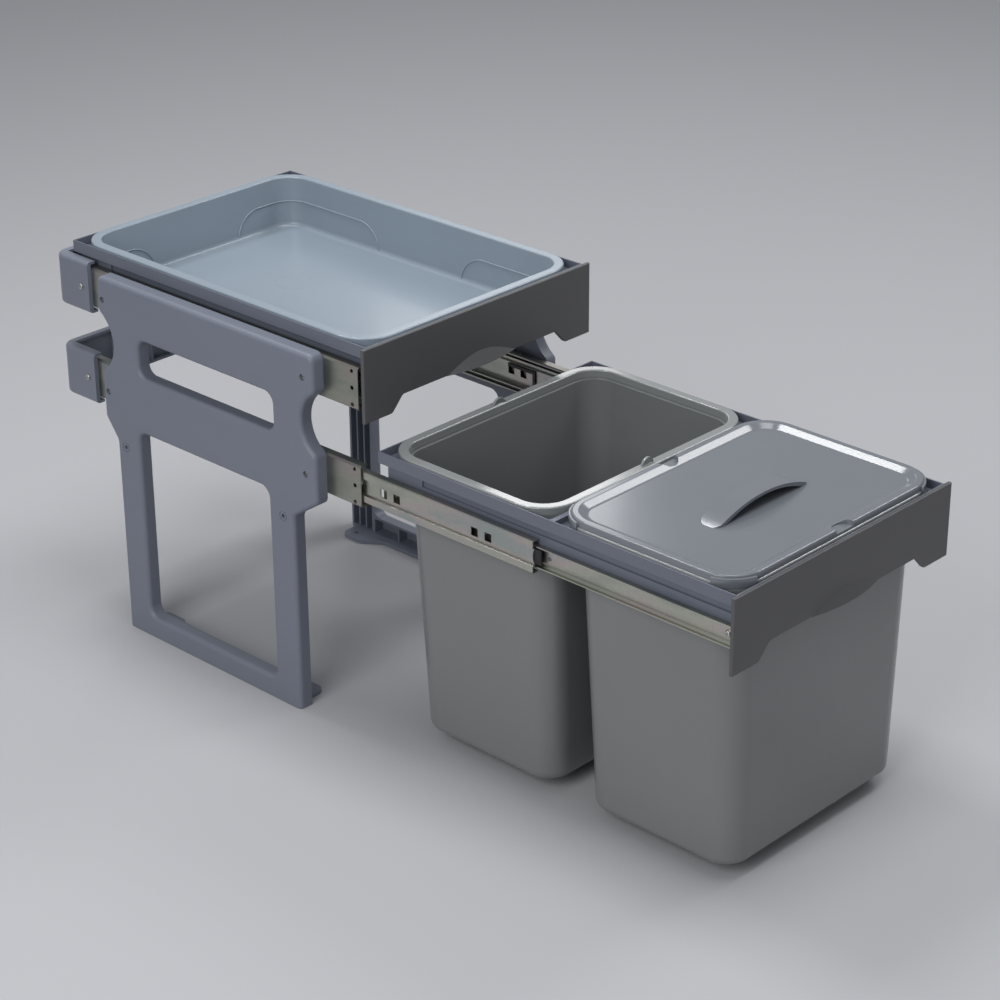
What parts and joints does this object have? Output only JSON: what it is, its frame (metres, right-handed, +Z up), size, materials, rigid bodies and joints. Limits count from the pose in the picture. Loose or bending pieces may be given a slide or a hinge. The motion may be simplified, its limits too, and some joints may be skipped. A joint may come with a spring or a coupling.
{
  "type": "pull-out waste bin",
  "caption": "Two-tier pull-out waste bin for a base cabinet: moulded side panels carry a bin drawer and a tray drawer on telescopic ball-bearing slides",
  "frame": {"origin": "on the cabinet floor, in the middle of the four foot screws", "axes": "+Z up, +Y to the back of the cabinet, +X to the right seen from the front; X = 0 is the plane of symmetry"},
  "size_m": [0.36, 0.949, 0.432],
  "materials": {
    "panel_plastic": "fine-textured moulded plastic",
    "frame_plastic": "fine-textured moulded plastic",
    "front_plastic": "satin moulded plastic",
    "bin_plastic": "satin moulded plastic",
    "lid_plastic": "glossy moulded plastic",
    "tray_plastic": "satin moulded plastic",
    "slide_zinc": "zinc-plated sheet steel",
    "cage_steel": "plain steel cage with polished balls",
    "stop_plastic": "black moulded plastic",
    "screw_zinc": "zinc-plated steel"
  },
  "bodies": {
    "base": {"side_panel_left": "panel_plastic", "side_panel_right": "panel_plastic", "panel_screws_left": "screw_zinc", "panel_screws_right": "screw_zinc", "crossbar_screws": "screw_zinc", "rear_crossbar_upper": "panel_plastic", "rear_crossbar_lower": "panel_plastic", "upper_left_slide_outer": "slide_zinc", "upper_right_slide_outer": "slide_zinc", "lower_left_slide_outer": "slide_zinc", "lower_right_slide_outer": "slide_zinc"},
    "upper_drawer": {"upper_frame": "frame_plastic", "upper_front_panel": "front_plastic", "upper_slide_screws": "screw_zinc", "upper_front_screws": "screw_zinc", "upper_left_slide_inner": "slide_zinc", "upper_right_slide_inner": "slide_zinc"},
    "upper_middles": {"upper_left_slide_middle": "slide_zinc", "upper_left_slide_stops": "stop_plastic", "upper_right_slide_middle": "slide_zinc", "upper_right_slide_stops": "stop_plastic"},
    "upper_outer_cages": {"upper_left_outer_cage": "cage_steel", "upper_right_outer_cage": "cage_steel"},
    "upper_inner_cages": {"upper_left_inner_cage": "cage_steel", "upper_right_inner_cage": "cage_steel"},
    "lower_drawer": {"lower_frame": "frame_plastic", "lower_front_panel": "front_plastic", "lower_slide_screws": "screw_zinc", "lower_front_screws": "screw_zinc", "lower_left_slide_inner": "slide_zinc", "lower_right_slide_inner": "slide_zinc"},
    "lower_middles": {"lower_left_slide_middle": "slide_zinc", "lower_left_slide_stops": "stop_plastic", "lower_right_slide_middle": "slide_zinc", "lower_right_slide_stops": "stop_plastic"},
    "lower_outer_cages": {"lower_left_outer_cage": "cage_steel", "lower_right_outer_cage": "cage_steel"},
    "lower_inner_cages": {"lower_left_inner_cage": "cage_steel", "lower_right_inner_cage": "cage_steel"},
    "tray": {"tray": "tray_plastic"},
    "rear_bin": {"rear_bin": "bin_plastic"},
    "front_bin": {"front_bin": "bin_plastic"},
    "lid": {"front_bin_lid": "lid_plastic"}
  },
  "joints": [
    {"name": "upper_drawer_slide", "type": "slide", "parent": "base", "child": "upper_drawer", "axis": [0, 1, 0], "range_m": [-0.465, 0]},
    {"name": "upper_middles_slide", "type": "slide", "parent": "base", "child": "upper_middles", "axis": [0, 1, 0], "range_m": [-0.2325, 0]},
    {"name": "upper_outer_cages_slide", "type": "slide", "parent": "base", "child": "upper_outer_cages", "axis": [0, 1, 0], "range_m": [-0.11625, 0]},
    {"name": "upper_inner_cages_slide", "type": "slide", "parent": "base", "child": "upper_inner_cages", "axis": [0, 1, 0], "range_m": [-0.34875, 0]},
    {"name": "lower_drawer_slide", "type": "slide", "parent": "base", "child": "lower_drawer", "axis": [0, -1, 0], "range_m": [-0.465, 0]},
    {"name": "lower_middles_slide", "type": "slide", "parent": "base", "child": "lower_middles", "axis": [0, -1, 0], "range_m": [-0.2325, 0]},
    {"name": "lower_outer_cages_slide", "type": "slide", "parent": "base", "child": "lower_outer_cages", "axis": [0, -1, 0], "range_m": [-0.11625, 0]},
    {"name": "lower_inner_cages_slide", "type": "slide", "parent": "base", "child": "lower_inner_cages", "axis": [0, -1, 0], "range_m": [-0.34875, 0]},
    {"name": "tray_lift", "type": "slide", "parent": "upper_drawer", "child": "tray", "axis": [0, 0, 1], "range_m": [0, 0.08]},
    {"name": "rear_bin_lift", "type": "slide", "parent": "lower_drawer", "child": "rear_bin", "axis": [0, 0, 1], "range_m": [0, 0.325]},
    {"name": "front_bin_lift", "type": "slide", "parent": "lower_drawer", "child": "front_bin", "axis": [0, 0, 1], "range_m": [0, 0.325]},
    {"name": "lid_lift", "type": "slide", "parent": "front_bin", "child": "lid", "axis": [0, 0, 1], "range_m": [0, 0.06]}
  ],
  "couplings": [
    {"joint": "upper_middles_slide", "follows": "upper_drawer_slide", "ratio": 0.5},
    {"joint": "upper_outer_cages_slide", "follows": "upper_drawer_slide", "ratio": 0.25},
    {"joint": "upper_inner_cages_slide", "follows": "upper_drawer_slide", "ratio": 0.75},
    {"joint": "lower_middles_slide", "follows": "lower_drawer_slide", "ratio": 0.5},
    {"joint": "lower_outer_cages_slide", "follows": "lower_drawer_slide", "ratio": 0.25},
    {"joint": "lower_inner_cages_slide", "follows": "lower_drawer_slide", "ratio": 0.75}
  ]
}
